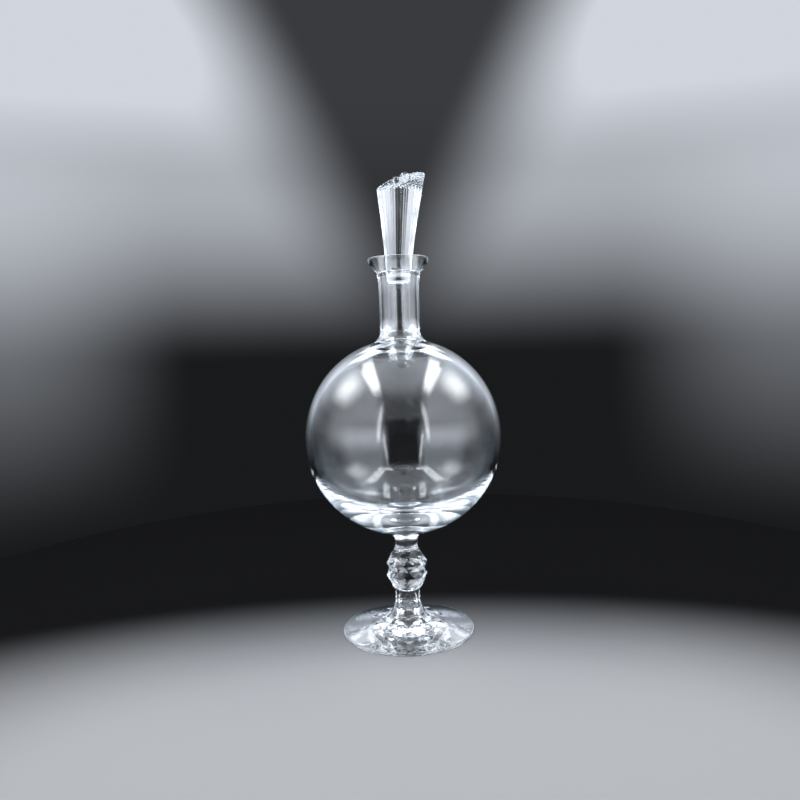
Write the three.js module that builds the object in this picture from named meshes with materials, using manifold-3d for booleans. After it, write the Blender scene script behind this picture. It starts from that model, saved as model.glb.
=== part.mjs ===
// A stemmed crystal decanter for champagne: a blown globe with a thick neck and a cupped lip, a collar,
// a facet-cut knop, a mitre-cut foot and a reeded stopper with a slanted top.
// Millimetres, +Z up. The origin is on the table at the centre of the foot, and the front faces -Y.

import * as THREE from "three";
import { mergeVertices } from "three/addons/utils/BufferGeometryUtils.js";
import Module from "manifold-3d";

const { degToRad, smoothstep } = THREE.MathUtils;

// Cuts round the stem: facets of the knop and flutes of the foot
const CUTS = 10;
const CUT_PITCH = (2 * Math.PI) / CUTS;

// Foot: a domed disc on a rest ring, drawn up into a short stem
const FOOT_RADIUS = 51;
const FOOT_EDGE = 2.4;
const FOOT_SLOPE = 0.26;
const FOOT_HEIGHT = 32.7;
const DOME_RADIUS = 28;
const STEM_RADIUS = 9.45;
const STEM_FLARE = 18.8;
const FLARE_PULL = 3.1;
const REST_WIDTH = 8;
const UNDERSIDE_RISE = 1;

// Mitre wheel that cuts the flutes of the foot
const WHEEL_RADIUS = 17;
const WHEEL_HALF_ANGLE = degToRad(77);
const STEM_CUT = 0.85;
const DOME_CUT = 0.2;

// Knop: heights rise from its foot or drop from its top
const KNOP_HEIGHT = 37.3;
const KNOP_TURN = degToRad(-11);
const HIP_RADIUS = 13.2;
const HIP_RISE = 5.8;
const GIRDLE_RADIUS = 15.95;
const LOWER_GIRDLE_RISE = 11.5;
const UPPER_GIRDLE_DROP = 16;
const NOTCH_RADIUS = 13.9;
const SHOULDER_RADIUS = 12.2;
const SHOULDER_DROP = 9.6;
const CUT_DROP = 5;
const WAIST_RADIUS = 8.6;
const WAIST_LENGTH = 2.5;
const FACET_ALLOWANCE = 0.6;

// Collar
const COLLAR_HEIGHT = 9.1;
const COLLAR_RADIUS = 15.6;
const COLLAR_PULL = 6.5;

// Globe: the wall is thin at the equator, thicker at the crown and thickest under the flattened base
const GLOBE_RADIUS = 75;
const GLOBE_WALL = 4.2;
const GLOBE_BASE = 16;
const BASE_FULLNESS = 0.65;
const GLOBE_CROWN = 6.5;
const SHOULDER_ANGLE = degToRad(66);

// Neck
const NECK_RADIUS = 15.2;
const NECK_SPREAD = 1.2;
const NECK_SPREAD_RUN = 16;
const NECK_LENGTH = 42.5;
const NECK_FILLET = 9;
const BORE_RADIUS = 9.1;
const BORE_LENGTH = 32.4;
const THROAT_ROUND = 1;

// Lip
const LIP_RADIUS = 22.95;
const LIP_HEIGHT = 12.4;
const LIP_WALL = 2.1;
const LIP_FLOOR = 2.6;
const LIP_SWING = 5.6;

// Stopper: a ground peg that fits the throat, under a trumpet of reeds
const SEAT_CLEARANCE = 0.3;
const PEG_LENGTH = 6.5;
const PEG_TAPER = 0.4;
const PEG_ROUND = 1.2;
const STOPPER_HEIGHT = 68;
const STOPPER_TAPER = 0.092;
const STOPPER_FLARE = 0.00056;
const STOPPER_SLANT = degToRad(16.6);
const STOPPER_LEAN = degToRad(2.4);
const STOPPER_CROWN = 1.2;
const CROWN_EDGE = 2.5;
const REEDS = 30;
const REED_DEPTH = 0.03;
const REED_START = 4;
const REED_RUN = 10;
const REED_SCALLOP = 0.9;

// Beads on the front of the slanted rim: the angle from the front towards +X, and the radius
const BEADS = [
  { turn: degToRad(14), radius: 4.1 },
  { turn: degToRad(-9), radius: 2.8 },
  { turn: degToRad(-25), radius: 2 },
];
const BEAD_SINK = 0.35;

// Facets of the round surfaces
const ROUND_SIDES = 40;
const WHEEL_SIDES = 48;
const REED_SIDES = 4;
const REED_RINGS = 5;
const BEAD_SIDES = 12;
const BEAD_RINGS = 8;
const WELD = 1e-4;

// Steps along the curved stretches of the outlines
const FOOT_STEPS = { underside: 3, edge: 6, flare: 8 };
const STEM_STEPS = { waist: 6, collar: 6 };
const BOWL_STEPS = { globe: 16, fillet: 3, spread: 3, shoulder: 5, crown: 7, base: 9 };
const LIP_STEPS = { cup: 4, rim: 4, throat: 3 };
const PEG_STEPS = 4;

// Seats, from the table up
const DOME_TOP = FOOT_EDGE + (FOOT_RADIUS - FOOT_EDGE / 2 - DOME_RADIUS) * FOOT_SLOPE;
const KNOP_Z = FOOT_HEIGHT;
const COLLAR_Z = KNOP_Z + KNOP_HEIGHT;
const GLOBE_SEAT_Z = COLLAR_Z + COLLAR_HEIGHT;
const GLOBE_Z = GLOBE_SEAT_Z + Math.sqrt(GLOBE_RADIUS ** 2 - COLLAR_RADIUS ** 2);
const NECK_Z =
  GLOBE_Z + Math.sqrt((GLOBE_RADIUS + NECK_FILLET) ** 2 - (NECK_RADIUS + NECK_FILLET) ** 2);
const THROAT_Z = NECK_Z + NECK_LENGTH;
const RIM_Z = THROAT_Z + LIP_HEIGHT;
const NECK_TOP_RADIUS = NECK_RADIUS + NECK_SPREAD;
const THROAT_RADIUS = BORE_RADIUS + PEG_TAPER;

const wasm = await Module();
wasm.setup();

const at = (r, z) => new THREE.Vector2(r, z);

// Points along a quadratic or cubic curve of an outline.
function bend(steps, ...points) {
  const Curve = points.length === 3 ? THREE.QuadraticBezierCurve : THREE.CubicBezierCurve;
  return new Curve(...points).getPoints(steps);
}

// Points along an arc of an ellipse, clockwise where the end angle is the smaller one.
function arc(steps, centre, radiusR, radiusZ, from, to) {
  return new THREE.EllipseCurve(centre.x, centre.y, radiusR, radiusZ, from, to, to < from).getPoints(steps);
}

// One outline from points and stretches of points, without the points that neighbours share.
function outline(...stretches) {
  const points = stretches.flat();
  return points.filter((p, i) => i === 0 || p.distanceTo(points[i - 1]) > WELD);
}

// A turned piece: the outline starts and ends on the axis and runs up the outside.
function turned(points, sides = ROUND_SIDES) {
  return new THREE.LatheGeometry(points, sides).rotateX(Math.PI / 2);
}

// A closed geometry as a solid that can be joined and cut.
function solidOf(geometry) {
  const bare = geometry.clone();
  bare.deleteAttribute("normal");
  bare.deleteAttribute("uv");
  const merged = mergeVertices(bare, WELD);
  return new wasm.Manifold(
    new wasm.Mesh({
      numProp: 3,
      vertProperties: merged.attributes.position.array,
      triVerts: new Uint32Array(merged.index.array),
    }),
  );
}

// A cut solid back as a geometry.
function geometryOf(solid) {
  const mesh = solid.getMesh();
  const geometry = new THREE.BufferGeometry();
  geometry.setAttribute("position", new THREE.BufferAttribute(mesh.vertProperties, 3));
  geometry.setIndex(new THREE.BufferAttribute(mesh.triVerts, 1));
  geometry.computeVertexNormals();
  return geometry;
}

// Foot before it is cut: the hollow underside, the rest ring, the rounded edge, the dome and the stem.
function footBlank() {
  const edge = FOOT_EDGE / 2;
  const restOuter = FOOT_RADIUS - edge;
  const restInner = restOuter - REST_WIDTH;
  const flareRun = (DOME_RADIUS - STEM_RADIUS) / 3;
  return turned(
    outline(
      bend(FOOT_STEPS.underside, at(0, UNDERSIDE_RISE), at(restInner / 2, UNDERSIDE_RISE), at(restInner, 0)),
      arc(FOOT_STEPS.edge, at(restOuter, edge), edge, edge, -Math.PI / 2, Math.PI / 2),
      bend(
        FOOT_STEPS.flare,
        at(DOME_RADIUS, DOME_TOP),
        at(DOME_RADIUS - flareRun, DOME_TOP + flareRun * FOOT_SLOPE),
        at(STEM_RADIUS, DOME_TOP + FLARE_PULL),
        at(STEM_RADIUS, DOME_TOP + STEM_FLARE),
      ),
      at(STEM_RADIUS, FOOT_HEIGHT),
      at(0, FOOT_HEIGHT),
    ),
  );
}

// Mitre wheel: a double cone on its side in front of the stem, sunk into the stem and the dome.
function mitreWheel() {
  const halfWidth = WHEEL_RADIUS * Math.tan(WHEEL_HALF_ANGLE);
  const reach = STEM_RADIUS - STEM_CUT + WHEEL_RADIUS;
  const height = DOME_TOP - DOME_CUT + WHEEL_RADIUS;
  const cone = [at(0, -halfWidth), at(WHEEL_RADIUS, 0), at(0, halfWidth)];
  return new THREE.LatheGeometry(cone, WHEEL_SIDES).rotateZ(Math.PI / 2).translate(0, -reach, height);
}

// Flutes run down the stem and out over the dome, where each one ends in a point.
function footGeometry() {
  let foot = solidOf(footBlank());
  for (let cut = 0; cut < CUTS; cut += 1) {
    foot = foot.subtract(solidOf(mitreWheel().rotateZ(cut * CUT_PITCH)));
  }
  return geometryOf(foot);
}

// Rings of the knop's corners from its foot up. The end rings stand clear of the round blank.
function knopRings() {
  const clear = (radius) => radius / Math.cos(CUT_PITCH / 2) + FACET_ALLOWANCE;
  const upperGirdle = KNOP_HEIGHT - UPPER_GIRDLE_DROP;
  return [
    at(clear(STEM_RADIUS), 0),
    at(HIP_RADIUS, HIP_RISE),
    at(GIRDLE_RADIUS, LOWER_GIRDLE_RISE),
    at(NOTCH_RADIUS, (LOWER_GIRDLE_RISE + upperGirdle) / 2),
    at(GIRDLE_RADIUS, upperGirdle),
    at(SHOULDER_RADIUS, KNOP_HEIGHT - SHOULDER_DROP),
    at(clear(WAIST_RADIUS), KNOP_HEIGHT - CUT_DROP),
    at(clear(WAIST_RADIUS), KNOP_HEIGHT),
  ];
}

// Facets of the knop: each ring is turned half a pitch from the one below it,
// so that the faces between two rings are triangles that point up and down in turn.
function knopFacets() {
  const rings = knopRings();
  const column = [at(0, 0), ...rings, at(0, KNOP_HEIGHT)];
  const facets = turned(column, CUTS);
  const corners = facets.getAttribute("position");
  const corner = new THREE.Vector3();
  const up = new THREE.Vector3(0, 0, 1);
  for (let i = 0; i < corners.count; i += 1) {
    const halfPitches = i % column.length;
    corner.fromBufferAttribute(corners, i);
    corner.applyAxisAngle(up, KNOP_TURN + (halfPitches * CUT_PITCH) / 2);
    corners.setXYZ(i, corner.x, corner.y, corner.z);
  }
  return facets;
}

// Knop blank: round where it joins the stem below and the collar above, and clear of the facets between.
function knopBlank() {
  const outside = GIRDLE_RADIUS + FACET_ALLOWANCE;
  const shoulder = KNOP_HEIGHT - SHOULDER_DROP;
  return turned(
    outline(
      at(0, 0),
      at(STEM_RADIUS, 0),
      at(STEM_RADIUS, FACET_ALLOWANCE),
      at(outside, HIP_RISE + FACET_ALLOWANCE),
      bend(
        STEM_STEPS.waist,
        at(outside, shoulder),
        at(WAIST_RADIUS, shoulder + WAIST_LENGTH),
        at(WAIST_RADIUS, KNOP_HEIGHT - WAIST_LENGTH),
      ),
      at(WAIST_RADIUS, KNOP_HEIGHT),
      at(0, KNOP_HEIGHT),
    ),
  );
}

function knopGeometry() {
  const cut = solidOf(knopBlank()).intersect(solidOf(knopFacets()));
  return geometryOf(cut).translate(0, 0, KNOP_Z);
}

// Collar: a flared button of glass from the knop's waist to the underside of the globe.
function collarGeometry() {
  const waist = at(WAIST_RADIUS, 0);
  const pull = at(WAIST_RADIUS, COLLAR_PULL);
  const seat = at(COLLAR_RADIUS, COLLAR_HEIGHT);
  const profile = outline(at(0, 0), bend(STEM_STEPS.collar, waist, pull, seat), at(0, COLLAR_HEIGHT));
  return turned(profile).translate(0, 0, COLLAR_Z);
}

// Outside of the bowl: the flat seat on the collar, the sphere, the fillet and the neck, up to the throat.
function bowlOutside() {
  const seatAngle = -Math.acos(COLLAR_RADIUS / GLOBE_RADIUS);
  const fillet = at(NECK_RADIUS + NECK_FILLET, NECK_Z);
  const filletAngle = Math.atan2(NECK_Z - GLOBE_Z, fillet.x);
  return outline(
    at(0, GLOBE_SEAT_Z),
    arc(BOWL_STEPS.globe, at(0, GLOBE_Z), GLOBE_RADIUS, GLOBE_RADIUS, seatAngle, filletAngle),
    arc(BOWL_STEPS.fillet, fillet, NECK_FILLET, NECK_FILLET, filletAngle - Math.PI, -Math.PI),
    bend(
      BOWL_STEPS.spread,
      at(NECK_RADIUS, THROAT_Z - NECK_SPREAD_RUN),
      at(NECK_RADIUS, THROAT_Z - NECK_SPREAD_RUN / 3),
      at(NECK_TOP_RADIUS, THROAT_Z),
    ),
  );
}

// Lip: a thin cup on the thick neck, with a rounded rim and a floor round the throat.
function bowlLip() {
  const rimRound = LIP_WALL / 2;
  const rimMiddle = at(LIP_RADIUS - rimRound, RIM_Z - rimRound);
  return outline(
    bend(
      LIP_STEPS.cup,
      at(NECK_TOP_RADIUS, THROAT_Z + LIP_FLOOR / 2),
      at(LIP_RADIUS - rimRound, THROAT_Z + LIP_SWING),
      at(LIP_RADIUS, rimMiddle.y),
    ),
    arc(LIP_STEPS.rim, rimMiddle, rimRound, rimRound, 0, Math.PI),
    bend(
      LIP_STEPS.cup,
      at(LIP_RADIUS - LIP_WALL, rimMiddle.y),
      at(LIP_RADIUS - 2 * LIP_WALL, THROAT_Z + LIP_SWING + rimRound),
      at(NECK_TOP_RADIUS - rimRound, THROAT_Z + LIP_FLOOR),
    ),
    bend(
      LIP_STEPS.throat,
      at(THROAT_RADIUS + 2 * THROAT_ROUND, THROAT_Z + THROAT_ROUND),
      at(THROAT_RADIUS, THROAT_Z + THROAT_ROUND),
      at(THROAT_RADIUS, THROAT_Z),
    ),
  );
}

// Inside of the bowl: the ground seat of the peg, the bore, the flare at the shoulder and the hollow globe.
function bowlInside() {
  const centre = at(0, GLOBE_Z);
  const hollow = GLOBE_RADIUS - GLOBE_WALL;
  const hollowTop = GLOBE_RADIUS - GLOBE_CROWN;
  const hollowBase = GLOBE_RADIUS - GLOBE_BASE;
  const shoulder = at(hollow * Math.cos(SHOULDER_ANGLE), hollowTop * Math.sin(SHOULDER_ANGLE)).add(centre);
  const slope = hollowTop / (hollow * Math.tan(SHOULDER_ANGLE));
  const pull = at(BORE_RADIUS, shoulder.y + (shoulder.x - BORE_RADIUS) * slope);
  return outline(
    at(BORE_RADIUS, THROAT_Z - PEG_LENGTH),
    bend(BOWL_STEPS.shoulder, at(BORE_RADIUS, THROAT_Z - BORE_LENGTH), pull, shoulder),
    arc(BOWL_STEPS.crown, centre, hollow, hollowTop, SHOULDER_ANGLE, 0),
    bend(
      BOWL_STEPS.base,
      at(hollow, GLOBE_Z),
      at(hollow, GLOBE_Z - hollowBase * BASE_FULLNESS),
      at(hollow * BASE_FULLNESS, GLOBE_Z - hollowBase),
      at(0, GLOBE_Z - hollowBase),
    ),
  );
}

function bowlGeometry() {
  return turned(outline(bowlOutside(), bowlLip(), bowlInside()));
}

// Radius of the stopper at a height above the throat: a gentle trumpet over a slightly tapered peg.
function stopperRadius(height) {
  const seat = THROAT_RADIUS - SEAT_CLEARANCE;
  if (height < 0) {
    return seat + (height / PEG_LENGTH) * PEG_TAPER;
  }
  return seat + STOPPER_TAPER * height + STOPPER_FLARE * height ** 2;
}

// Height of the slanted rim above the throat, at an angle from the front towards +X.
function rimHeight(turn) {
  return STOPPER_HEIGHT + Math.tan(STOPPER_SLANT) * stopperRadius(STOPPER_HEIGHT) * Math.sin(turn);
}

// Stopper before it is reeded: the peg with its rounded end, the trumpet and a crowned top.
function stopperBlank() {
  const rings = Array.from({ length: REED_RINGS + 1 }, (_, i) =>
    THREE.MathUtils.lerp(REED_START, STOPPER_HEIGHT, i / REED_RINGS),
  );
  const pegEnd = -PEG_LENGTH;
  const peg = stopperRadius(pegEnd);
  const rim = stopperRadius(STOPPER_HEIGHT);
  return turned(
    outline(
      at(0, pegEnd),
      bend(PEG_STEPS, at(peg - PEG_ROUND, pegEnd), at(peg, pegEnd), at(peg, pegEnd + PEG_ROUND)),
      [0, ...rings].map((height) => at(stopperRadius(height), height)),
      at(rim - CROWN_EDGE, STOPPER_HEIGHT + STOPPER_CROWN),
      at(rim / 2, STOPPER_HEIGHT + STOPPER_CROWN / 2),
      at(0, STOPPER_HEIGHT),
    ),
    REEDS * REED_SIDES,
  );
}

// Where a point of the plain stopper goes: drawn up to the slanted rim and pressed into the reeds.
function reeded({ radius, turn, height }) {
  if (height <= 0) {
    return { radius, turn, height };
  }
  const level = Math.min(height, STOPPER_HEIGHT);
  const across = radius / stopperRadius(level);
  const slant = ((rimHeight(turn) - STOPPER_HEIGHT) * across * level) / STOPPER_HEIGHT;
  const valley = 1 - Math.abs(Math.cos((REEDS * turn) / 2));
  const press = 1 - REED_DEPTH * valley * smoothstep(height, REED_START, REED_START + REED_RUN);
  const scallop = level < STOPPER_HEIGHT ? 0 : REED_SCALLOP * valley * across;
  return {
    radius: across * stopperRadius(level + slant) * press,
    turn,
    height: height + slant - scallop,
  };
}

function reededStopper() {
  const stopper = stopperBlank();
  const points = stopper.getAttribute("position");
  for (let i = 0; i < points.count; i += 1) {
    const x = points.getX(i);
    const y = points.getY(i);
    const plain = { radius: Math.hypot(x, y), turn: Math.atan2(x, -y), height: points.getZ(i) };
    const { radius, turn, height } = reeded(plain);
    points.setXYZ(i, radius * Math.sin(turn), -radius * Math.cos(turn), height);
  }
  return stopper;
}

// Bead of glass on the rim, sunk a little into the body.
function rimBead({ turn, radius }) {
  const height = rimHeight(turn);
  const reach = stopperRadius(height) - radius * (1 - BEAD_SINK);
  return new THREE.SphereGeometry(radius, BEAD_SIDES, BEAD_RINGS)
    .rotateX(Math.PI / 2)
    .translate(reach * Math.sin(turn), -reach * Math.cos(turn), height - radius * BEAD_SINK);
}

// Leans a point of the stopper towards +X, above the throat.
function lean(point) {
  point[0] += Math.tan(STOPPER_LEAN) * Math.max(point[2], 0);
}

function stopperGeometry() {
  const beads = BEADS.map((bead) => solidOf(rimBead(bead)));
  const whole = beads.reduce((body, bead) => body.add(bead), solidOf(reededStopper()));
  return geometryOf(whole.warp(lean)).translate(0, 0, THROAT_Z);
}

// Crystal: clear with a trace of blue, polished
function crystal() {
  return new THREE.MeshStandardMaterial({
    color: 0xe6eef4,
    roughness: 0.05,
    metalness: 0,
    transparent: true,
    opacity: 0.35,
  });
}

function piece(name, geometry) {
  const mesh = new THREE.Mesh(geometry, crystal());
  mesh.name = name;
  return mesh;
}

const decanter = new THREE.Group();
decanter.add(piece("foot", footGeometry()));
decanter.add(piece("knop", knopGeometry()));
decanter.add(piece("collar", collarGeometry()));
decanter.add(piece("bowl", bowlGeometry()));
decanter.add(piece("stopper", stopperGeometry()));

export default decanter;
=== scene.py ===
"""Looks of a stemmed crystal decanter for champagne.

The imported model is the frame. Each piece of glass is modelled again here as a smooth, dense mesh that stands
where its node does, and each finish is a procedural crystal. Sizes of the pieces are in millimetres. Those of
the finishes and the studio are in metres, as the meshes and the frame are.
"""

import logging
import math
import random
from collections.abc import Iterable
from dataclasses import dataclass, field
from enum import Enum
from typing import Any, ClassVar

import bmesh
import bpy
from mathutils import Euler, Matrix, Quaternion, Vector
from mathutils.geometry import interpolate_bezier

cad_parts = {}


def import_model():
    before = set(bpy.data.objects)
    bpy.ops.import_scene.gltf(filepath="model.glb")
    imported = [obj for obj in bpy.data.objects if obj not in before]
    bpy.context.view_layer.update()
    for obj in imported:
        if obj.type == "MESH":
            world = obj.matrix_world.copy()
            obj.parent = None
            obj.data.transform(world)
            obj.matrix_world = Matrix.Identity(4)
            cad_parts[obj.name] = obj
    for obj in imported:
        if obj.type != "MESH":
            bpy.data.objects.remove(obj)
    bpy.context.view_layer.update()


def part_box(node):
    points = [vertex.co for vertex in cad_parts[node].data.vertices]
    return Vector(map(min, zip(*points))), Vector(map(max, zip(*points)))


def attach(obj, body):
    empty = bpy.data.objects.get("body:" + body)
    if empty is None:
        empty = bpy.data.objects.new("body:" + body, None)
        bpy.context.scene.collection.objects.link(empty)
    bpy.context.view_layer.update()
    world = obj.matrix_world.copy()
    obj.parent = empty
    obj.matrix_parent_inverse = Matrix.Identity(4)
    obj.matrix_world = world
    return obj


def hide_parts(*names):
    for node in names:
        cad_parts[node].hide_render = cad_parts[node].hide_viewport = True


log = logging.getLogger("decanter")

MM = 0.001
FULL_TURN = 2 * math.pi
QUARTER_TURN = math.pi / 2
WELD = 1e-7
AXIS = Vector((0, 0, 1))
TO_THE_BACK = Vector((0, 1, 0))

# What two pieces share: the cuts round the stem, and sizes in millimetres
CUTS = 10
STEM_RADIUS = 9.45
WAIST_RADIUS = 8.6
SEAT_RADIUS = 15.6
BORE_RADIUS = 9.1
PEG_LENGTH = 6.5
PEG_TAPER = 0.4

Triple = tuple[float, float, float]
Colour = Triple
Point = tuple[float, float]
Span = tuple[float, float]


class Body(Enum):
    """Bodies of the frame that pieces ride on."""

    DECANTER = "decanter"
    STOPPER = "stopper"


class Slot(Enum):
    """Material slots of the record."""

    BLOWN = "blown_crystal"
    CUT = "cut_crystal"
    STOPPER = "stopper_crystal"


class Carve(Enum):
    """Ways in which one solid works on another."""

    CUT_AWAY = "DIFFERENCE"
    KEEP_COMMON = "INTERSECT"
    FUSE = "UNION"


class Side(Enum):
    """Sides of the studio, as the sign of X."""

    LEFT = -1
    RIGHT = 1


@dataclass(frozen=True)
class Wire:
    """One output of a node. Its arithmetic adds Math nodes to the tree."""

    shading: "Shading"
    socket: bpy.types.NodeSocket

    def math(self, operation: str, *values: "Wire | float") -> "Wire":
        """Adds a Math node whose inputs take the values in order."""
        return self.shading.wire("ShaderNodeMath", {"operation": operation}, dict(enumerate(values)))

    def __add__(self, other: "Wire | float") -> "Wire":
        """Sum."""
        return self.math("ADD", self, other)

    def __radd__(self, other: float) -> "Wire":
        """Sum with a number in front."""
        return self.math("ADD", other, self)

    def __sub__(self, other: "Wire | float") -> "Wire":
        """Difference."""
        return self.math("SUBTRACT", self, other)

    def __rsub__(self, other: float) -> "Wire":
        """Difference from a number."""
        return self.math("SUBTRACT", other, self)

    def __mul__(self, other: "Wire | float") -> "Wire":
        """Product."""
        return self.math("MULTIPLY", self, other)

    def __rmul__(self, other: float) -> "Wire":
        """Product with a number in front."""
        return self.math("MULTIPLY", other, self)

    def __pow__(self, other: float) -> "Wire":
        """Power."""
        return self.math("POWER", self, other)

    def size(self) -> "Wire":
        """Value without its sign."""
        return self.math("ABSOLUTE", self)

    def ease(self, start: float, end: float) -> "Wire":
        """Rises smoothly from 0 at start to 1 at end, or falls where end is the smaller one."""
        settings = {"interpolation_type": "SMOOTHSTEP"}
        return self.shading.wire("ShaderNodeMapRange", settings, {0: self, 1: start, 2: end})


class Shading:
    """Node tree of a material, the world or a lamp, written from its inputs to its output."""

    def __init__(self, owner: bpy.types.Material | bpy.types.World | bpy.types.Light) -> None:
        """Starts with an empty tree.

        Args:
            owner: the material, world or lamp that the tree belongs to.
        """
        owner.use_nodes = True
        self.tree = owner.node_tree
        self.tree.nodes.clear()

    def node(
        self,
        kind: str,
        settings: dict[str, Any] | None = None,
        inputs: dict[int | str, Any] | None = None,
    ) -> bpy.types.Node:
        """Adds a node.

        Args:
            kind: the node's type.
            settings: its properties, which are set first.
            inputs: values or wires of its sockets, by name or number.

        Returns:
            The node.
        """
        made = self.tree.nodes.new(kind)
        for name, value in (settings or {}).items():
            setattr(made, name, value)
        for name, value in (inputs or {}).items():
            socket = made.inputs[name]
            if isinstance(value, Wire):
                self.tree.links.new(value.socket, socket)
            else:
                socket.default_value = value
        return made

    def wire(
        self,
        kind: str,
        settings: dict[str, Any] | None = None,
        inputs: dict[int | str, Any] | None = None,
        output: int | str = 0,
    ) -> Wire:
        """Adds a node in the same way, and gives one of its outputs."""
        return Wire(self, self.node(kind, settings, inputs).outputs[output])

    def parts(self, vector: Wire) -> list[Wire]:
        """Parts of a vector along X, Y and Z."""
        split = self.node("ShaderNodeSeparateXYZ", inputs={0: vector})
        return [Wire(self, output) for output in split.outputs]

    def place(self, scale: Triple = (1, 1, 1), shift: Triple = (0, 0, 0)) -> Wire:
        """Object coordinates in metres, stretched and then shifted along each axis."""
        own = self.wire("ShaderNodeTexCoord", output="Object")
        return self.wire("ShaderNodeMapping", inputs={"Vector": own, "Scale": scale, "Location": shift})

    def height(self) -> Wire:
        """Height above the table."""
        return self.parts(self.place())[2]

    def levelness(self) -> Wire:
        """How near the surface lies to level, from 0 to 1, seen from either side."""
        normal = self.wire("ShaderNodeNewGeometry", output="Normal")
        return self.parts(normal)[2].size()

    def noise(self, scale: Triple, detail: float = 2.0) -> Wire:
        """Noise, a half on average, that repeats scale times in a metre and has detail finer layers."""
        inputs = {"Vector": self.place(scale), "Scale": 1.0, "Detail": detail}
        return self.wire("ShaderNodeTexNoise", inputs=inputs)

    def mix(self, share: Wire, first: Colour, second: Colour) -> Wire:
        """Mix of two colours: the first one where the share is 0, the second one where it is 1."""
        inputs = {0: share, 6: (*first, 1.0), 7: (*second, 1.0)}
        return self.wire("ShaderNodeMix", {"data_type": "RGBA"}, inputs, output=2)


@dataclass(frozen=True)
class Crystal:
    """Clear crystal: its tint shows along the glass, and its surface is polished but not perfect."""

    name: str
    clear: Colour = (0.97, 0.985, 0.995)
    edge: Colour = (0.54, 0.79, 0.97)
    passing: Colour = (0.9, 0.92, 0.94)
    edge_reach: float = 3.0
    ior: float = 1.54
    polish: float = 0.004
    haze: float = 0.03
    haze_scale: Triple = (55, 55, 30)
    haze_detail: float = 4.0
    haze_span: Span = (0.55, 0.75)
    relief_height: float = 0.00003

    def relief(self, shading: Shading) -> Wire:
        """Height of the surface's unevenness, as a share of the relief's height."""
        raise NotImplementedError

    def dullness(self, shading: Shading) -> Wire:
        """Roughness of the surface: polished, with a haze here and there."""
        wiped = shading.noise(self.haze_scale, self.haze_detail).ease(*self.haze_span)
        return self.polish + wiped * self.haze

    def material(self) -> bpy.types.Material:
        """Makes the material.

        Returns:
            The material, ready for a piece.
        """
        made = bpy.data.materials.new(self.name)
        shading = Shading(made)
        facing = shading.wire("ShaderNodeLayerWeight", output="Facing")
        tint = shading.mix(facing ** self.edge_reach, self.clear, self.edge)
        bump = shading.wire(
            "ShaderNodeBump",
            inputs={"Height": self.relief(shading), "Distance": self.relief_height, "Strength": 1.0},
        )
        surface = shading.wire(
            "ShaderNodeBsdfPrincipled",
            inputs={
                "Base Color": tint,
                "Roughness": self.dullness(shading),
                "IOR": self.ior,
                "Transmission Weight": 1.0,
                "Normal": bump,
            },
        )
        from_lamp = shading.wire("ShaderNodeLightPath", output="Is Shadow Ray")
        passing = shading.wire("ShaderNodeBsdfTransparent", inputs={"Color": (*self.passing, 1.0)})
        shown = shading.wire("ShaderNodeMixShader", inputs={0: from_lamp, 1: surface, 2: passing})
        shading.node("ShaderNodeOutputMaterial", inputs={"Surface": shown})
        return made


@dataclass(frozen=True)
class BlownCrystal(Crystal):
    """Fire-polished crystal: long shallow waves from blowing, and fainter rings from turning."""

    name: str = Slot.BLOWN.value
    wave_scale: Triple = (26, 26, 18)
    ring_scale: Triple = (4, 4, 150)
    ring_share: float = 0.12

    def relief(self, shading: Shading) -> Wire:
        """Waves with rings over them.

        Args:
            shading: the tree that they are added to.

        Returns:
            The height, from 0 to 1.
        """
        waves = shading.noise(self.wave_scale, detail=1.0)
        rings = shading.noise(self.ring_scale, detail=1.0)
        return waves * (1 - self.ring_share) + rings * self.ring_share


@dataclass(frozen=True)
class CutCrystal(Crystal):
    """Wheel-cut crystal: flats that the polishing left faintly rippled, over a disc that is less even."""

    name: str = Slot.CUT.value
    relief_height: float = 0.00006
    ripple_scale: Triple = (150, 150, 90)
    disc_scale: Triple = (330, 330, 330)
    disc_share: float = 0.9
    disc_span: Span = (0.012, 0.003)

    def relief(self, shading: Shading) -> Wire:
        """Ripples of the polishing wheel, and the unevenness of the disc below them.

        Args:
            shading: the tree that they are added to.

        Returns:
            The height, from 0 to 1.
        """
        ripples = shading.noise(self.ripple_scale)
        uneven = shading.noise(self.disc_scale)
        low = shading.height().ease(*self.disc_span)
        return ripples * (1 - self.disc_share) + uneven * low * self.disc_share


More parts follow.
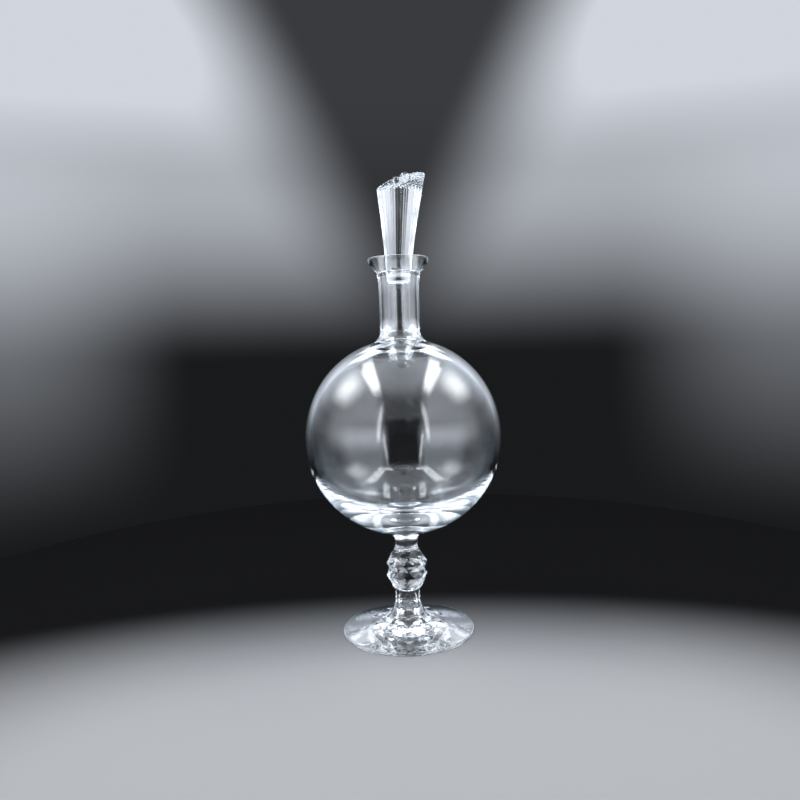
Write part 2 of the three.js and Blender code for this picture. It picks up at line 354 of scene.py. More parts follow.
@dataclass(frozen=True, kw_only=True)
class PressedCrystal(Crystal):
    """Pressed crystal: fine striae along the reeds, from the ground ring of the peg to the ragged rim.

    The ground ring is measured from the throat, and the ragged band from the slanted rim.
    """

    throat: float
    rim: float
    rim_slope: float
    name: str = Slot.STOPPER.value
    clear: Colour = (0.91, 0.922, 0.935)
    polish: float = 0.05
    relief_height: float = 0.000008
    striae_scale: Triple = (700, 700, 22)
    swell_scale: Triple = (120, 120, 60)
    swell_share: float = 0.35
    ground: float = 0.45
    ground_foot: Span = (-0.0014, -0.0002)
    ground_top: Span = (0.0043, 0.0031)
    ragged: float = 0.1
    ragged_scale: Triple = (620, 620, 620)
    ragged_share: float = 2.5
    ragged_foot: Span = (-0.0068, -0.0008)
    ragged_top: Span = (0.0022, 0.0007)
    frosted: float = 0.75
    frosted_span: Span = (0.8, 0.93)

    def near_rim(self, shading: Shading) -> Wire:
        """Band along the slanted rim.

        Args:
            shading: the tree that it is added to.

        Returns:
            The band, 1 at the rim and 0 well below it or above it.
        """
        across, _, height = shading.parts(shading.place())
        rise = height - across * self.rim_slope - self.rim
        return rise.ease(*self.ragged_foot) * rise.ease(*self.ragged_top)

    def relief(self, shading: Shading) -> Wire:
        """Striae over a slower swell, and chips along the ragged rim.

        Args:
            shading: the tree that they are added to.

        Returns:
            The height, from 0 to 1, and more at the chips.
        """
        striae = shading.noise(self.striae_scale)
        swell = shading.noise(self.swell_scale, detail=1.0)
        chips = shading.noise(self.ragged_scale) * self.near_rim(shading) * self.ragged_share
        return striae * (1 - self.swell_share) + swell * self.swell_share + chips

    def dullness(self, shading: Shading) -> Wire:
        """Polished reeds between the ground ring of the peg and the ragged rim, and a frosted top.

        Args:
            shading: the tree that they are added to.

        Returns:
            The roughness.
        """
        height = shading.height() - self.throat
        ring = height.ease(*self.ground_foot) * height.ease(*self.ground_top)
        rim = self.near_rim(shading)
        top = shading.levelness().ease(*self.frosted_span) * rim * self.frosted
        return super().dullness(shading) + ring * self.ground + rim * self.ragged + top


@dataclass(frozen=True)
class FusedJoint:
    """Where two pieces of glass were joined hot: no surface is left to see inside the glass."""

    name: str = "fused_joint"

    def material(self) -> bpy.types.Material:
        """Makes the clear material of the joint's faces.

        Returns:
            The material.
        """
        made = bpy.data.materials.new(self.name)
        shading = Shading(made)
        surface = shading.wire("ShaderNodeBsdfPrincipled", inputs={"Alpha": 0.0})
        shading.node("ShaderNodeOutputMaterial", inputs={"Surface": surface})
        return made


class Outline:
    """Half of a turned section, drawn from the axis round the outside. A point is a radius and a height."""

    # How far towards a single handle the two handles of the same curve lie
    HANDLE_SHARE: ClassVar[float] = 2 / 3

    def __init__(self, radius: float, height: float) -> None:
        """Starts at a point."""
        self.points = [Vector((radius, 0, height))]

    def line(self, radius: float, height: float) -> "Outline":
        """Draws a straight stretch to a point, and gives the outline itself."""
        self.points.append(Vector((radius, 0, height)))
        return self

    def arc(self, centre: Point, half: Point, turn: Span, steps: int) -> "Outline":
        """Draws an arc of an ellipse.

        Args:
            centre: its centre.
            half: its half width and half height.
            turn: the angles where it starts and ends.
            steps: how many edges it has.

        Returns:
            The outline itself.
        """
        for step in range(steps + 1):
            angle = turn[0] + (turn[1] - turn[0]) * step / steps
            self.line(centre[0] + half[0] * math.cos(angle), centre[1] + half[1] * math.sin(angle))
        return self

    def bend(self, first: Point, second: Point, end: Point, steps: int) -> "Outline":
        """Draws a curve from the last point.

        Args:
            first: the handle at its start.
            second: the handle at its end.
            end: its end.
            steps: how many edges it has.

        Returns:
            The outline itself.
        """
        knots = [self.points[-1], *(Vector((r, 0, z)) for r, z in (first, second, end))]
        self.points += interpolate_bezier(*knots, steps + 1)[1:]
        return self

    def swing(self, pull: Point, end: Point, steps: int) -> "Outline":
        """Draws a curve with one handle, which both ends lean towards.

        Args:
            pull: the handle.
            end: its end.
            steps: how many edges it has.

        Returns:
            The outline itself.
        """
        share = self.HANDLE_SHARE
        ends = ((self.points[-1].x, self.points[-1].z), end)
        handles = [(r + (pull[0] - r) * share, z + (pull[1] - z) * share) for r, z in ends]
        return self.bend(*handles, end, steps)

    def turned(self, steps: int) -> bmesh.types.BMesh:
        """Spins the outline round the axis.

        Args:
            steps: how many segments a full turn has.

        Returns:
            The closed mesh, in metres.
        """
        bm = bmesh.new()
        chain = [bm.verts.new(point * MM) for point in self.points]
        edges = [bm.edges.new(pair) for pair in zip(chain, chain[1:])]
        bmesh.ops.spin(
            bm, geom=chain + edges, cent=(0, 0, 0), axis=AXIS, angle=FULL_TURN, steps=steps, use_merge=True
        )
        bmesh.ops.remove_doubles(bm, verts=bm.verts, dist=WELD)
        bmesh.ops.recalc_face_normals(bm, faces=bm.faces)
        return bm


def mesh_object(name: str, bm: bmesh.types.BMesh) -> bpy.types.Object:
    """Puts a bmesh into the scene.

    Args:
        name: the object's name.
        bm: its mesh, which is freed.

    Returns:
        The object, at the origin.
    """
    mesh = bpy.data.meshes.new(name)
    bm.to_mesh(mesh)
    bm.free()
    made = bpy.data.objects.new(name, mesh)
    bpy.context.scene.collection.objects.link(made)
    return made


def carved(blank: bmesh.types.BMesh, tools: Iterable[bmesh.types.BMesh], how: Carve) -> bmesh.types.BMesh:
    """Works solids on a blank, one after another.

    Args:
        blank: the solid that is worked on, which is freed.
        tools: the solids that cut it or join it, which are freed.
        how: what they do.

    Returns:
        The worked solid.
    """
    work = mesh_object("work", blank)
    benches = [mesh_object("tool", tool) for tool in tools]
    for bench in benches:
        step = work.modifiers.new("carve", "BOOLEAN")
        step.object = bench
        step.operation = how.value
        step.solver = "MANIFOLD"
    depsgraph = bpy.context.evaluated_depsgraph_get()
    done = bmesh.new()
    done.from_mesh(work.evaluated_get(depsgraph).to_mesh())
    for spent in (work, *benches):
        bpy.data.meshes.remove(spent.data)
    bmesh.ops.remove_doubles(done, verts=done.verts, dist=WELD)
    return done


def smooth(share: float) -> float:
    """Eases a share, held between 0 and 1, so that it starts and ends level."""
    held = min(max(share, 0), 1)
    return held * held * (3 - 2 * held)


@dataclass
class GlassPiece:
    """A piece of glass that stands for one node of the frame."""

    node: ClassVar[str]
    name: ClassVar[str]
    body: ClassVar[Body] = Body.DECANTER
    slot: ClassVar[Slot]
    crease: ClassVar[float] = math.radians(9)

    segments: int = 192

    @property
    def base(self) -> float:
        """Height of the node's lowest point."""
        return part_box(self.node)[0].z / MM

    @property
    def top(self) -> float:
        """Height of the node's highest point."""
        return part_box(self.node)[1].z / MM

    def shape(self) -> bmesh.types.BMesh:
        """Builds the piece's mesh."""
        raise NotImplementedError

    def seams(self) -> list[float]:
        """Heights of the flat faces that are fused to a neighbour."""
        return []

    def build(self) -> bpy.types.Object:
        """Builds the piece with its creases and its fused faces.

        Returns:
            The object, whose faces take material index 0 for the glass and 1 for the joints.
        """
        bm = self.shape()
        heights = [height * MM for height in self.seams()]
        for face in bm.faces:
            face.smooth = True
            fused = any(all(abs(vert.co.z - height) < WELD for vert in face.verts) for height in heights)
            face.material_index = int(fused)
        for edge in bm.edges:
            edge.smooth = edge.calc_face_angle(0.0) < self.crease
        return mesh_object(self.name, bm)

    def dress(self, piece: bpy.types.Object, glass: bpy.types.Material, joint: bpy.types.Material) -> None:
        """Gives the piece its finish and its place in the frame.

        Args:
            piece: the built object.
            glass: the crystal of its surface.
            joint: the finish of its fused faces.
        """
        piece.data.materials.append(glass)
        piece.data.materials.append(joint)
        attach(piece, self.body.value)
        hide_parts(self.node)
        log.info("%s: %d faces, rides on %s", piece.name, len(piece.data.polygons), self.body.value)


@dataclass
class Foot(GlassPiece):
    """Foot: a domed disc on a rest ring, drawn up into a short stem and cut with mitred flutes."""

    node: ClassVar[str] = "foot"
    name: ClassVar[str] = "foot_cut"
    slot: ClassVar[Slot] = Slot.CUT

    radius: float = 51
    edge: float = 2.4
    edge_steps: int = 26
    slope: float = 0.26
    dome_radius: float = 28
    stem_radius: float = STEM_RADIUS
    stem_flare: float = 18.8
    flare_pull: float = 3.1
    flare_steps: int = 36
    rest_width: float = 8
    underside_rise: float = 1
    underside_steps: int = 16
    flutes: int = CUTS
    wheel_radius: float = 19
    wheel_half_angle: float = math.radians(77)
    wheel_segments: int = 160
    stem_cut: float = 0.85
    dome_cut: float = 0.35

    @property
    def dome_top(self) -> float:
        """Height of the dome where the stem's flare begins."""
        return self.edge + (self.radius - self.edge / 2 - self.dome_radius) * self.slope

    def seams(self) -> list[float]:
        """The top, which the knop is fused to."""
        return [self.top]

    def blank(self) -> bmesh.types.BMesh:
        """Foot before it is cut.

        Returns:
            The turned mesh.
        """
        half_edge = self.edge / 2
        rest_outer = self.radius - half_edge
        rest_inner = rest_outer - self.rest_width
        run = (self.dome_radius - self.stem_radius) / 3
        rim = (-QUARTER_TURN, QUARTER_TURN)
        outline = Outline(0, self.underside_rise)
        outline.swing((rest_inner / 2, self.underside_rise), (rest_inner, 0), self.underside_steps)
        outline.arc((rest_outer, half_edge), (half_edge, half_edge), rim, self.edge_steps)
        outline.line(self.dome_radius, self.dome_top)
        outline.bend(
            (self.dome_radius - run, self.dome_top + run * self.slope),
            (self.stem_radius, self.dome_top + self.flare_pull),
            (self.stem_radius, self.dome_top + self.stem_flare),
            self.flare_steps,
        )
        outline.line(self.stem_radius, self.top).line(0, self.top)
        return outline.turned(self.segments)

    def wheel(self, turn: float) -> bmesh.types.BMesh:
        """Mitre wheel that cuts one flute: a double cone that stands in front of the stem.

        Args:
            turn: its angle round the stem.

        Returns:
            The wheel's mesh.
        """
        half_width = self.wheel_radius * math.tan(self.wheel_half_angle)
        reach = self.stem_radius - self.stem_cut + self.wheel_radius
        height = self.dome_top - self.dome_cut + self.wheel_radius
        cone = Outline(0, -half_width).line(self.wheel_radius, 0).line(0, half_width)
        bm = cone.turned(self.wheel_segments)
        upright = Matrix.Rotation(QUARTER_TURN, 4, "Y")
        place = Matrix.Translation(Vector((0, -reach, height)) * MM)
        round_stem = Matrix.Rotation(turn, 4, "Z")
        bmesh.ops.transform(bm, matrix=round_stem @ place @ upright, verts=bm.verts)
        return bm

    def shape(self) -> bmesh.types.BMesh:
        """The blank with its flutes cut."""
        wheels = [self.wheel(FULL_TURN * cut / self.flutes) for cut in range(self.flutes)]
        return carved(self.blank(), wheels, Carve.CUT_AWAY)


@dataclass
class Knop(GlassPiece):
    """Knop: triangular facets in two girdles with a notch between, round at its ends."""

    node: ClassVar[str] = "knop"
    name: ClassVar[str] = "knop_cut"
    slot: ClassVar[Slot] = Slot.CUT
    crease: ClassVar[float] = math.radians(4)

    facets: int = CUTS
    turn: float = math.radians(-11)
    stem_radius: float = STEM_RADIUS
    hip_radius: float = 13.2
    hip_rise: float = 5.8
    girdle_radius: float = 15.95
    lower_girdle_rise: float = 11.5
    upper_girdle_drop: float = 16
    notch_radius: float = 13.9
    shoulder_radius: float = 12.2
    shoulder_drop: float = 9.6
    cut_drop: float = 5
    waist_radius: float = WAIST_RADIUS
    waist_length: float = 2.5
    waist_steps: int = 24
    allowance: float = 0.6
    arris: float = 0.22
    arris_segments: int = 2

    def seams(self) -> list[float]:
        """The foot below and the collar above."""
        return [self.base, self.top]

    def rings(self) -> list[Point]:
        """Rings of the facets' corners, from the foot up.

        Returns:
            Radius and height of each ring.
        """
        widen = 1 / math.cos(FULL_TURN / self.facets / 2)
        lower_girdle = self.base + self.lower_girdle_rise
        upper_girdle = self.top - self.upper_girdle_drop
        waist = self.waist_radius * widen + self.allowance
        return [
            (self.stem_radius * widen + self.allowance, self.base),
            (self.hip_radius, self.base + self.hip_rise),
            (self.girdle_radius, lower_girdle),
            (self.notch_radius, (lower_girdle + upper_girdle) / 2),
            (self.girdle_radius, upper_girdle),
            (self.shoulder_radius, self.top - self.shoulder_drop),
            (waist, self.top - self.cut_drop),
            (waist, self.top),
        ]

    def faceted(self) -> bmesh.types.BMesh:
        """Stack of facets: each ring is turned half a pitch from the one below it.

        Returns:
            The closed mesh, with its arrises softened.
        """
        bm = bmesh.new()
        half_pitch = FULL_TURN / self.facets / 2
        loops = []
        for step, (radius, height) in enumerate(self.rings()):
            angle = self.turn - QUARTER_TURN + (step + 1) * half_pitch
            place = Matrix.Translation((0, 0, height * MM)) @ Matrix.Rotation(angle, 4, "Z")
            ring = bmesh.ops.create_circle(bm, segments=self.facets, radius=radius * MM, matrix=place)
            loops.append({edge for vert in ring["verts"] for edge in vert.link_edges})
        for lower, upper in zip(loops, loops[1:]):
            bmesh.ops.bridge_loops(bm, edges=list(lower | upper))
        bmesh.ops.triangulate(bm, faces=bm.faces, quad_method="SHORT_EDGE")
        bmesh.ops.holes_fill(bm, edges=bm.edges, sides=self.facets)
        bmesh.ops.recalc_face_normals(bm, faces=bm.faces)
        bmesh.ops.bevel(
            bm, geom=bm.edges, offset=self.arris * MM, offset_type="OFFSET", affect="EDGES",
            segments=self.arris_segments, profile=0.5, material=-1,
        )
        return bm

    def blank(self) -> bmesh.types.BMesh:
        """Round blank that the facets are cut from.

        Returns:
            The turned mesh.
        """
        outside = self.girdle_radius + self.allowance
        shoulder = self.top - self.shoulder_drop
        outline = Outline(0, self.base).line(self.stem_radius, self.base)
        outline.line(self.stem_radius, self.base + self.allowance)
        outline.line(outside, self.base + self.hip_rise + self.allowance)
        outline.line(outside, shoulder)
        outline.swing(
            (self.waist_radius, shoulder + self.waist_length),
            (self.waist_radius, self.top - self.waist_length),
            self.waist_steps,
        )
        outline.line(self.waist_radius, self.top).line(0, self.top)
        return outline.turned(self.segments)

    def shape(self) -> bmesh.types.BMesh:
        """What the blank and the facets have in common."""
        return carved(self.blank(), [self.faceted()], Carve.KEEP_COMMON)


@dataclass
class Collar(GlassPiece):
    """Collar: a flared button of glass from the knop's waist to the underside of the globe."""

    node: ClassVar[str] = "collar"
    name: ClassVar[str] = "collar_drawn"
    slot: ClassVar[Slot] = Slot.BLOWN

    waist_radius: float = WAIST_RADIUS
    seat_radius: float = SEAT_RADIUS
    pull: float = 6.5
    flare_steps: int = 24

    def seams(self) -> list[float]:
        """The knop below and the globe above."""
        return [self.base, self.top]

    def shape(self) -> bmesh.types.BMesh:
        """The turned button.

        Returns:
            Its mesh.
        """
        pull = (self.waist_radius, self.base + self.pull)
        outline = Outline(0, self.base).line(self.waist_radius, self.base)
        outline.swing(pull, (self.seat_radius, self.top), self.flare_steps)
        return outline.line(0, self.top).turned(self.segments)


@dataclass
class Bowl(GlassPiece):
    """Bowl: a blown globe with a thick neck, a cupped lip and a ground throat."""

    node: ClassVar[str] = "bowl"
    name: ClassVar[str] = "bowl_blown"
    slot: ClassVar[Slot] = Slot.BLOWN

    seat_radius: float = SEAT_RADIUS
    radius: float = 75
    globe_steps: int = 96
    wall: float = 4.2
    hollow_steps: int = 44
    base_wall: float = 16
    base_fullness: float = 0.65
    base_steps: int = 64
    crown_wall: float = 6.5
    shoulder_angle: float = math.radians(66)
    shoulder_steps: int = 24
    neck_radius: float = 15.2
    neck_length: float = 42.5
    neck_spread: float = 1.2
    spread_run: float = 16
    spread_steps: int = 12
    fillet: float = 9
    fillet_steps: int = 14
    bore_radius: float = BORE_RADIUS
    bore_length: float = 32.4
    peg_length: float = PEG_LENGTH
    peg_taper: float = PEG_TAPER
    throat_round: float = 1
    throat_steps: int = 8
    lip_radius: float = 22.95
    lip_height: float = 12.4
    lip_wall: float = 2.1
    lip_floor: float = 2.6
    lip_swing: float = 5.6
    lip_steps: int = 20
    rim_steps: int = 14

    @property
    def centre(self) -> float:
        """Height of the globe's centre."""
        return self.base + math.sqrt(self.radius**2 - self.seat_radius**2)

    @property
    def neck_base(self) -> float:
        """Height where the fillet runs into the neck."""
        reach = self.radius + self.fillet
        return self.centre + math.sqrt(reach**2 - (self.neck_radius + self.fillet) ** 2)

    @property
    def throat(self) -> float:
        """Height of the throat, where the stopper's peg begins."""
        return self.neck_base + self.neck_length

    def seams(self) -> list[float]:
        """The collar below."""
        return [self.base]

    def draw_outside(self, outline: Outline) -> None:
        """Draws the globe, the fillet and the neck.

        Args:
            outline: the section, at the middle of the seat.
        """
        seat_angle = -math.acos(self.seat_radius / self.radius)
        fillet_radius = self.neck_radius + self.fillet
        fillet_angle = math.atan2(self.neck_base - self.centre, fillet_radius)
        globe = (seat_angle, fillet_angle)
        outline.arc((0, self.centre), (self.radius,) * 2, globe, self.globe_steps)
        turn = (fillet_angle - math.pi, -math.pi)
        outline.arc((fillet_radius, self.neck_base), (self.fillet,) * 2, turn, self.fillet_steps)
        outline.line(self.neck_radius, self.throat - self.spread_run)
        outline.swing(
            (self.neck_radius, self.throat - self.spread_run / 3),
            (self.neck_radius + self.neck_spread, self.throat),
            self.spread_steps,
        )

    def draw_lip(self, outline: Outline) -> None:
        """Draws the cup of the lip, its rim and its floor, down to the throat.

        Args:
            outline: the section, at the top of the neck.
        """
        rim_round = self.lip_wall / 2
        rim = self.throat + self.lip_height - rim_round
        neck_top = self.neck_radius + self.neck_spread
        throat_radius = self.bore_radius + self.peg_taper
        rounding = self.throat + self.throat_round
        outline.line(neck_top, self.throat + self.lip_floor / 2)
        pull = (self.lip_radius - rim_round, self.throat + self.lip_swing)
        outline.swing(pull, (self.lip_radius, rim), self.lip_steps)
        outline.arc((self.lip_radius - rim_round, rim), (rim_round,) * 2, (0, math.pi), self.rim_steps)
        pull = (self.lip_radius - 2 * self.lip_wall, self.throat + self.lip_swing + rim_round)
        outline.swing(pull, (neck_top - rim_round, self.throat + self.lip_floor), self.lip_steps)
        outline.line(throat_radius + 2 * self.throat_round, rounding)
        outline.swing((throat_radius, rounding), (throat_radius, self.throat), self.throat_steps)

    def draw_inside(self, outline: Outline) -> None:
        """Draws the ground seat of the peg, the bore, the shoulder and the hollow globe.

        Args:
            outline: the section, at the throat.
        """
        hollow = self.radius - self.wall
        crown = self.radius - self.crown_wall
        base = self.radius - self.base_wall
        shoulder_radius = hollow * math.cos(self.shoulder_angle)
        shoulder = self.centre + crown * math.sin(self.shoulder_angle)
        slope = crown / (hollow * math.tan(self.shoulder_angle))
        outline.line(self.bore_radius, self.throat - self.peg_length)
        outline.line(self.bore_radius, self.throat - self.bore_length)
        pull = (self.bore_radius, shoulder + (shoulder_radius - self.bore_radius) * slope)
        outline.swing(pull, (shoulder_radius, shoulder), self.shoulder_steps)
        outline.arc((0, self.centre), (hollow, crown), (self.shoulder_angle, 0), self.hollow_steps)
        outline.bend(
            (hollow, self.centre - base * self.base_fullness),
            (hollow * self.base_fullness, self.centre - base),
            (0, self.centre - base),
            self.base_steps,
        )

    def shape(self) -> bmesh.types.BMesh:
        """The turned bowl, outside and inside.

        Returns:
            Its mesh.
        """
        outline = Outline(0, self.base)
        self.draw_outside(outline)
        self.draw_lip(outline)
        self.draw_inside(outline)
        return outline.turned(self.segments)


@dataclass(frozen=True)
class Bead:
    """Bead of glass on the stopper's rim: its angle from the front towards +X, and its radius."""

    turn: float
    radius: float


@dataclass
class Stopper(GlassPiece):
    """Stopper: a ground peg under a trumpet of reeds, with a slanted top and beads on its rim.

    Its heights are measured from the throat.
    """

    node: ClassVar[str] = "stopper"
    name: ClassVar[str] = "stopper_reeded"
    body: ClassVar[Body] = Body.STOPPER
    slot: ClassVar[Slot] = Slot.STOPPER
    crease: ClassVar[float] = math.radians(28)

    throat_radius: float = BORE_RADIUS + PEG_TAPER
    clearance: float = 0.3
    peg_length: float = PEG_LENGTH
    peg_taper: float = PEG_TAPER
    peg_round: float = 3.0
    peg_steps: int = 10
    height: float = 68
    taper: float = 0.092
    flare: float = 0.00056
    trumpet_rings: int = 40
    slant: float = math.radians(16.6)
    lean: float = math.radians(2.4)
    crown: float = 1.0
    crown_edge: float = 1.6
    edge_steps: int = 6
    crown_steps: int = 10
    reeds: int = 30
    reed_segments: int = 12
    reed_depth: float = 0.014
    reed_start: float = 4
    reed_run: float = 10
    reed_scallop: float = 0.9
    reed_spread: float = 0.5
    bead_sink: float = 0.35
    bead_segments: int = 40
    bead_rings: int = 24
    seed: int = 7
    beads: tuple[Bead, ...] = (
        Bead(math.radians(14), 4.1),
        Bead(math.radians(-9), 2.8),
        Bead(math.radians(-25), 2.0),
    )
    depths: list[float] = field(init=False)

    def __post_init__(self) -> None:
        """Draws how deep each reed is pressed."""
        draw = random.Random(self.seed)
        self.depths = [1 - self.reed_spread * draw.random() for _ in range(self.reeds)]

    @property
    def throat(self) -> float:
        """Height of the throat above the table."""
        return self.base + self.peg_length

    def radius_at(self, height: float) -> float:
        """Radius of the plain stopper.

        Args:
            height: height above the throat.

        Returns:
            The radius, of the peg below the throat and of the trumpet above it.
        """
        seat = self.throat_radius - self.clearance
        if height < 0:
            return seat + height / self.peg_length * self.peg_taper
        return seat + self.taper * height + self.flare * height**2

    def rim_height(self, turn: float) -> float:
        """Height of the slanted rim at an angle from the front towards +X."""
        return self.height + math.tan(self.slant) * self.radius_at(self.height) * math.sin(turn)

    def blank(self) -> bmesh.types.BMesh:
        """Stopper before it is reeded.

        Returns:
            The turned mesh, with the throat at height 0.
        """
        peg = self.radius_at(-self.peg_length)
        rim = self.radius_at(self.height)
        crest = self.height + self.crown
        outline = Outline(0, -self.peg_length)
        outline.line(peg - self.peg_round, -self.peg_length)
        outline.swing((peg, -self.peg_length), (peg, self.peg_round - self.peg_length), self.peg_steps)
        for ring in range(self.trumpet_rings + 1):
            height = self.height * ring / self.trumpet_rings
            outline.line(self.radius_at(height), height)
        outline.swing((rim - self.crown_edge / 2, crest), (rim - self.crown_edge, crest), self.edge_steps)
        outline.swing((rim / 2, crest), (0, self.height), self.crown_steps)
        return outline.turned(self.reeds * self.reed_segments)

    def reeded(self, point: Vector) -> Vector:
        """Where a point of the plain stopper goes, drawn up to the slanted rim and pressed into the reeds.

        Args:
            point: a point of the blank, in metres.

        Returns:
            Its place on the stopper, in metres.
        """
        height = point.z / MM
        if height <= 0:
            return point
        turn = math.atan2(point.x, -point.y)
        level = min(height, self.height)
        across = math.hypot(point.x, point.y) / MM / self.radius_at(level)
        slant = (self.rim_height(turn) - self.height) * across * level / self.height
        phase = self.reeds * turn / FULL_TURN
        depth = self.depths[round(phase) % self.reeds]
        valley = (1 - abs(math.cos(math.pi * phase))) * depth
        press = 1 - self.reed_depth * valley * smooth((height - self.reed_start) / self.reed_run)
        scallop = 0 if level < self.height else self.reed_scallop * valley * across
        radius = across * self.radius_at(level + slant) * press
        return Vector((radius * math.sin(turn), -radius * math.cos(turn), height + slant - scallop)) * MM

    def bead(self, bead: Bead) -> bmesh.types.BMesh:
        """Bead of glass on the rim.

        Args:
            bead: its angle and radius.

        Returns:
            The bead's mesh.
        """
        rim = self.rim_height(bead.turn)
        reach = self.radius_at(rim) - bead.radius * (1 - self.bead_sink)
        height = rim - bead.radius * self.bead_sink
        place = Vector((reach * math.sin(bead.turn), -reach * math.cos(bead.turn), height)) * MM
        bm = bmesh.new()
        bmesh.ops.create_uvsphere(
            bm, u_segments=self.bead_segments, v_segments=self.bead_rings,
            radius=bead.radius * MM, matrix=Matrix.Translation(place),
        )
        return bm

    def shape(self) -> bmesh.types.BMesh:
        """The reeded body with its beads fused on.

        Returns:
            Its mesh.
        """
        bm = self.blank()
        for vert in bm.verts:
            vert.co = self.reeded(vert.co)
        whole = carved(bm, [self.bead(bead) for bead in self.beads], Carve.FUSE)
        for vert in whole.verts:
            vert.co.x += math.tan(self.lean) * max(vert.co.z, 0)
        bmesh.ops.translate(whole, vec=AXIS * self.throat * MM, verts=whole.verts)
        return whole


@dataclass(frozen=True)
class Panel:
    """Soft light: a rectangular panel that faces the decanter, and hangs at the left and at the right."""

    name: str
    distance: float
    turn: float
    height: float
    run: Vector
    width: float
    length: float
    glow: float
    edge: float
    colour: Colour = (0.94, 0.97, 1.0)
    aim: Vector = Vector((0, 0, 0.17))

    def soften(self, data: bpy.types.Light) -> None:
        """Lets the panel's glow fall off towards its edges.

        Args:
            data: the lamp.
        """
        half = 0.5
        shading = Shading(data)
        places = shading.parts(shading.wire("ShaderNodeNewGeometry", output="Parametric"))
        ways = [(place - half).size().ease(half, half - self.edge) for place in places[:2]]
        light = shading.wire("ShaderNodeEmission", inputs={"Strength": ways[0] * ways[1]})
        shading.node("ShaderNodeOutputLight", inputs={"Surface": light})

    def hang(self, side: Side) -> None:
        """Hangs the panel at one side, with its length along its run.

        Args:
            side: the side, towards which the panel is turned from the front.
        """
        name = f"{self.name}_{side.name.lower()}"
        data = bpy.data.lights.new(name, "AREA")
        data.shape = "RECTANGLE"
        data.size = self.width
        data.size_y = self.length
        data.color = self.colour
        self.soften(data)
        data.energy = self.glow * math.pi * self.width * self.length
        place = Matrix.Rotation(side.value * self.turn, 3, "Z") @ Vector((0, -self.distance, 0))
        place.z = self.height
        back = (place - self.aim).normalized()
        across = self.run.cross(back).normalized()
        lamp = bpy.data.objects.new(name, data)
        lamp.location = place
        lamp.rotation_euler = Matrix((across, back.cross(across), back)).transposed().to_euler()
        bpy.context.scene.collection.objects.link(lamp)


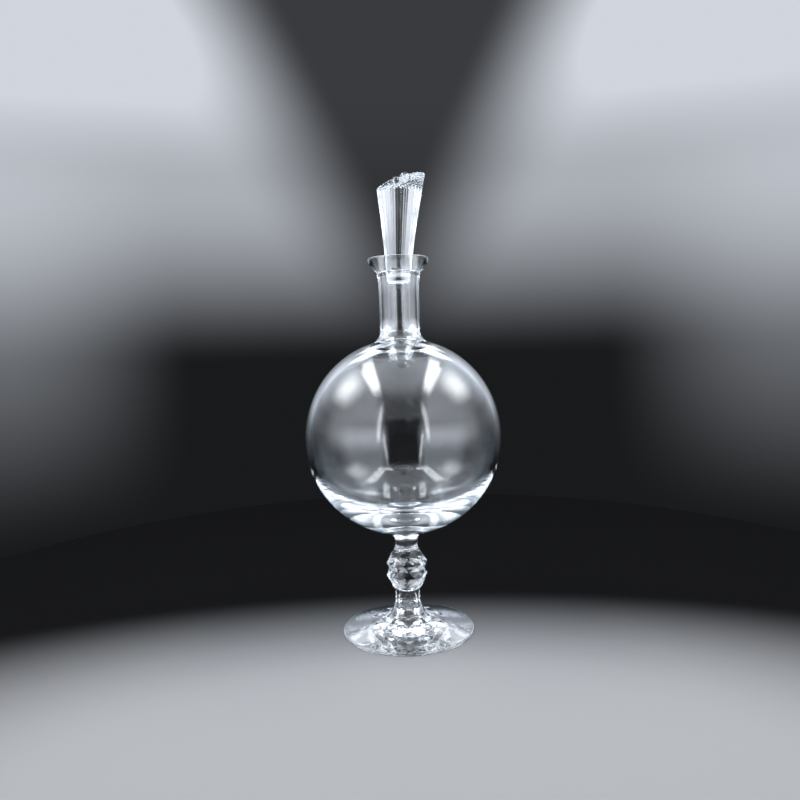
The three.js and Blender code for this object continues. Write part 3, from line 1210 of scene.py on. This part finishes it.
@dataclass
class Studio:
    """Floor with a painted pool of light round the decanter, dim surround, three kinds of panel and the
    camera.

    The spans of the surround are parts of a direction along X, Y or Z, at which a glow is 0 and then 1.
    """

    floor_radius: float = 0.5
    floor_segments: int = 96
    floor_drop: float = 0.0001
    floor_colour: Colour = (0.42, 0.42, 0.43)
    # Painted shade: the floor's colour far from the decanter, where the painted pool of light has faded
    floor_painted_dark: Colour = (0.008, 0.008, 0.0088)
    floor_dullness: float = 0.55
    grain: float = 0.2
    grain_scale: Triple = (90, 90, 90)
    grain_detail: float = 4.0
    # Where the painted pool of light on the floor fades, and how it is stretched and shifted
    painted_pool_span: Span = (0.15, 0.37)
    painted_pool_shape: Triple = (0.75, 1.3, 1.0)
    painted_pool_shift: Triple = (0.0, 0.26, 0.0)
    surround_colour: Colour = (0.9, 0.95, 1.04)
    dark_glow: float = 0.011
    behind_span: Span = (-0.3, 0.3)
    side_span: Span = (0.28, 0.5)
    wall_glow: float = 0.2
    wall_foot: Span = (-0.25, 0.12)
    wall_top: Span = (0.42, 0.0)
    fan_lean: float = 0.54
    fan_edge: Span = (-0.1, 0.1)
    low_glow: float = 0.42
    low_rise: Span = (-0.02, 0.22)
    high_glow: float = 0.45
    high_rise: Span = (0.22, 0.4)
    ahead_glow: float = 2.1
    ahead_foot: Span = (-0.25, 0.1)
    patch_glow: float = 4.5
    patch_inner: Span = (0.1, 0.18)
    patch_outer: Span = (0.36, 0.26)
    patch_foot: Span = (0.44, 0.52)
    patch_top: Span = (0.7, 0.6)
    ceiling_glow: float = 1.6
    ceiling_rise: Span = (0.75, 0.95)
    haze_glow: float = 0.035
    haze_rise: Span = (0.0, 0.35)
    seen_glow: float = 0.7
    unseen_glow: float = 9.0
    panels: tuple[Panel, ...] = (
        Panel(
            "strip", distance=0.4, turn=QUARTER_TURN, height=1.0, run=TO_THE_BACK,
            width=0.19, length=1.0, glow=14.0, edge=0.3,
        ),
        Panel(
            "bar", distance=0.75, turn=math.radians(27), height=0.45, run=AXIS,
            width=0.08, length=0.75, glow=4.5, edge=0.3,
        ),
        Panel(
            "softbox", distance=0.85, turn=math.radians(98), height=0.98, run=TO_THE_BACK,
            width=0.8, length=1.0, glow=7.0, edge=0.45,
        ),
    )
    bounces: int = 160
    camera_place: Triple = (-0.0016, -0.535, 0.222)
    camera_pitch: float = math.radians(4.45)
    camera_roll: float = math.radians(1.7)
    lens: float = 31.5
    sensor: float = 36.0

    def painted_pool_floor_material(self) -> bpy.types.Material:
        """Pale matt floor with a painted pool of light: its colour fades to near black away from a spot in
        front of the decanter, so it is dark behind it.

        Returns:
            The material.
        """
        made = bpy.data.materials.new("pale_floor_painted_pool")
        shading = Shading(made)
        place = shading.place(self.painted_pool_shape, self.painted_pool_shift)
        reach = shading.wire("ShaderNodeVectorMath", {"operation": "LENGTH"}, {0: place}, "Value")
        # Painted pool of light: the floor's colour fades from pale to near black with distance
        painted_pool_tone = shading.mix(reach.ease(*self.painted_pool_span), self.floor_colour, self.floor_painted_dark)
        dullness = self.floor_dullness + shading.noise(self.grain_scale, self.grain_detail) * self.grain
        surface = shading.wire(
            "ShaderNodeBsdfPrincipled",
            inputs={"Base Color": painted_pool_tone, "Roughness": dullness, "Specular IOR Level": 0.0},
        )
        shading.node("ShaderNodeOutputMaterial", inputs={"Surface": surface})
        return made

    def lay_floor(self) -> None:
        """Lays the floor just under the foot."""
        bm = bmesh.new()
        bmesh.ops.create_circle(
            bm, cap_ends=True, segments=self.floor_segments, radius=self.floor_radius,
            matrix=Matrix.Translation((0, 0, -self.floor_drop)),
        )
        floor = mesh_object("floor", bm)
        floor.data.materials.append(self.painted_pool_floor_material())

    def surround_glow(self, shading: Shading) -> Wire:
        """Glow of the surround: walls at the sides, a fan of light behind, more light ahead and a ceiling.

        Two patches hang behind, above the picture, where only the glass shows them.

        Args:
            shading: the tree that it is added to.

        Returns:
            The glow in each direction.
        """
        x, y, up = shading.parts(shading.wire("ShaderNodeTexCoord", output="Generated"))
        across = x.size()
        behind = y.ease(*self.behind_span)
        sides = across.ease(*self.side_span)
        walls = sides * up.ease(*self.wall_foot) * up.ease(*self.wall_top) * self.wall_glow
        fan = (across - up * self.fan_lean).ease(*self.fan_edge) * behind
        fan_glow = up.ease(*self.low_rise) * self.low_glow + up.ease(*self.high_rise) * self.high_glow
        ahead = sides * up.ease(*self.ahead_foot) * (1 - behind) * self.ahead_glow
        band = up.ease(*self.patch_foot) * up.ease(*self.patch_top) * behind
        patches = across.ease(*self.patch_inner) * across.ease(*self.patch_outer) * band * self.patch_glow
        ceiling = up.ease(*self.ceiling_rise) * self.ceiling_glow
        haze = up.ease(*self.haze_rise) * self.haze_glow
        return walls + fan * fan_glow + ahead + patches + ceiling + haze + self.dark_glow

    def hang_surround(self) -> None:
        """Hangs the surround, dimmed for rays from matt surfaces and held back where the camera sees it."""
        world = bpy.data.worlds.new("surround")
        bpy.context.scene.world = world
        shading = Shading(world)
        on_matt = shading.wire("ShaderNodeLightPath", output="Is Diffuse Ray")
        seen = shading.wire("ShaderNodeLightPath", output="Is Camera Ray")
        glow = self.surround_glow(shading) * (1 - on_matt)
        held = glow.math("MINIMUM", glow, self.seen_glow + (1 - seen) * self.unseen_glow)
        colour = (*self.surround_colour, 1.0)
        light = shading.wire("ShaderNodeBackground", inputs={"Color": colour, "Strength": held})
        shading.node("ShaderNodeOutputWorld", inputs={"Surface": light})

    def set_camera(self) -> None:
        """Sets the camera at the photograph's angle."""
        data = bpy.data.cameras.new("camera")
        data.lens = self.lens
        data.sensor_width = self.sensor
        camera = bpy.data.objects.new("camera", data)
        level = Euler((QUARTER_TURN - self.camera_pitch, 0, 0)).to_quaternion()
        camera.location = self.camera_place
        camera.rotation_euler = (level @ Quaternion(AXIS, -self.camera_roll)).to_euler()
        bpy.context.scene.collection.objects.link(camera)
        bpy.context.scene.camera = camera

    def build(self) -> None:
        """Sets up the whole studio, with enough bounces for light that is caught in the thick glass."""
        self.set_camera()
        self.lay_floor()
        self.hang_surround()
        for side in Side:
            for panel in self.panels:
                panel.hang(side)
        scene = bpy.context.scene
        scene.view_settings.view_transform = "Standard"
        scene.cycles.max_bounces = self.bounces
        scene.cycles.transmission_bounces = self.bounces
        scene.cycles.glossy_bounces = self.bounces
        scene.cycles.caustics_refractive = False
        scene.cycles.caustics_reflective = False


def main() -> None:
    """Builds the decanter and its studio."""
    logging.basicConfig(level=logging.INFO, format="%(name)s: %(message)s")
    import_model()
    Studio().build()
    stopper = Stopper()
    pressed = PressedCrystal(
        throat=stopper.throat * MM,
        rim=(stopper.throat + stopper.height) * MM,
        rim_slope=math.tan(stopper.slant),
    )
    joint = FusedJoint().material()
    finishes = {
        Slot.BLOWN: BlownCrystal().material(),
        Slot.CUT: CutCrystal().material(),
        Slot.STOPPER: pressed.material(),
    }
    for piece in (Foot(), Knop(), Collar(), Bowl(), stopper):
        piece.dress(piece.build(), finishes[piece.slot], joint)


if __name__ == "__main__":
    main()
